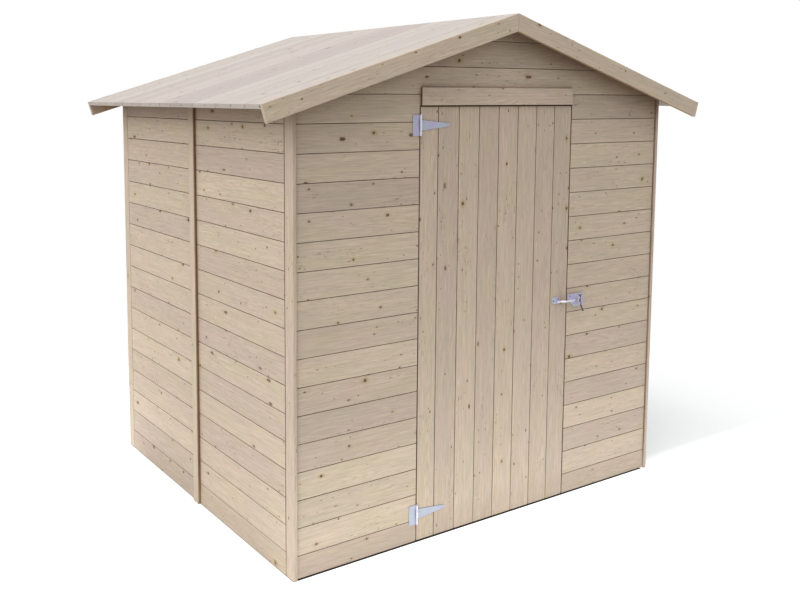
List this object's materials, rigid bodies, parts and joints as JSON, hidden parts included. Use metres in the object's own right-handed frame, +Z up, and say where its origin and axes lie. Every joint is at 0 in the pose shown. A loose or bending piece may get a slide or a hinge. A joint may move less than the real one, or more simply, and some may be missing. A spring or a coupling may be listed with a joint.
{
  "type": "wooden garden shed",
  "caption": "Boarded timber garden shed with a low gable roof, barge boards, corner trims and one outward-opening ledged door on T-hinges with a gate latch.",
  "frame": {"origin": "on the ground under the middle of the roof", "axes": "+Z up, +X to the right as seen by someone facing the door, +Y from the door wall to the back wall"},
  "size_m": [2.18, 1.664, 1.987],
  "materials": {
    "planed_spruce": "planed, untreated, small knots",
    "framing_spruce": "planed frame timber, untreated",
    "zinc_steel": "zinc plated"
  },
  "bodies": {
    "shed": {"front_wall_left": "planed_spruce", "front_wall_right": "planed_spruce", "front_wall_over_door": "planed_spruce", "back_wall": "planed_spruce", "left_wall_front_panel": "planed_spruce", "left_wall_rear_panel": "planed_spruce", "right_wall_front_panel": "planed_spruce", "right_wall_rear_panel": "planed_spruce", "front_left_corner_trim": "planed_spruce", "front_right_corner_trim": "planed_spruce", "rear_left_corner_trim": "planed_spruce", "rear_right_corner_trim": "planed_spruce", "left_joint_batten": "planed_spruce", "right_joint_batten": "planed_spruce", "left_roof_boards": "planed_spruce", "right_roof_boards": "planed_spruce", "front_left_barge": "planed_spruce", "front_right_barge": "planed_spruce", "rear_left_barge": "planed_spruce", "rear_right_barge": "planed_spruce", "header_board": "planed_spruce", "corner_posts": "framing_spruce", "middle_posts": "framing_spruce", "bottom_rails": "framing_spruce", "door_sill": "framing_spruce", "wall_plates": "framing_spruce", "left_door_post": "framing_spruce", "right_door_post": "framing_spruce", "door_head_rail": "framing_spruce", "door_stops": "framing_spruce", "front_gable_rails": "framing_spruce", "back_gable_rails": "framing_spruce", "ridge_beam": "framing_spruce", "purlins": "framing_spruce", "upper_hinge_plate": "zinc_steel", "lower_hinge_plate": "zinc_steel", "hinge_pins": "zinc_steel", "latch_body": "zinc_steel"},
    "door": {"door_boards": "planed_spruce", "door_ledges": "framing_spruce", "door_braces": "framing_spruce", "upper_hinge_strap": "zinc_steel", "lower_hinge_strap": "zinc_steel", "door_striker": "zinc_steel"},
    "pawl": {"latch_pawl": "zinc_steel"}
  },
  "joints": [
    {"name": "door_swing", "type": "hinge", "parent": "shed", "child": "door", "pos_m": [-0.39075, -0.7465, 0.842], "axis": [0, 0, -1], "range_deg": [0, 160]},
    {"name": "pawl_lift", "type": "hinge", "parent": "shed", "child": "pawl", "pos_m": [0.4415, -0.755, 0.855], "axis": [-1, 0, 0], "range_deg": [0, 75]}
  ]
}
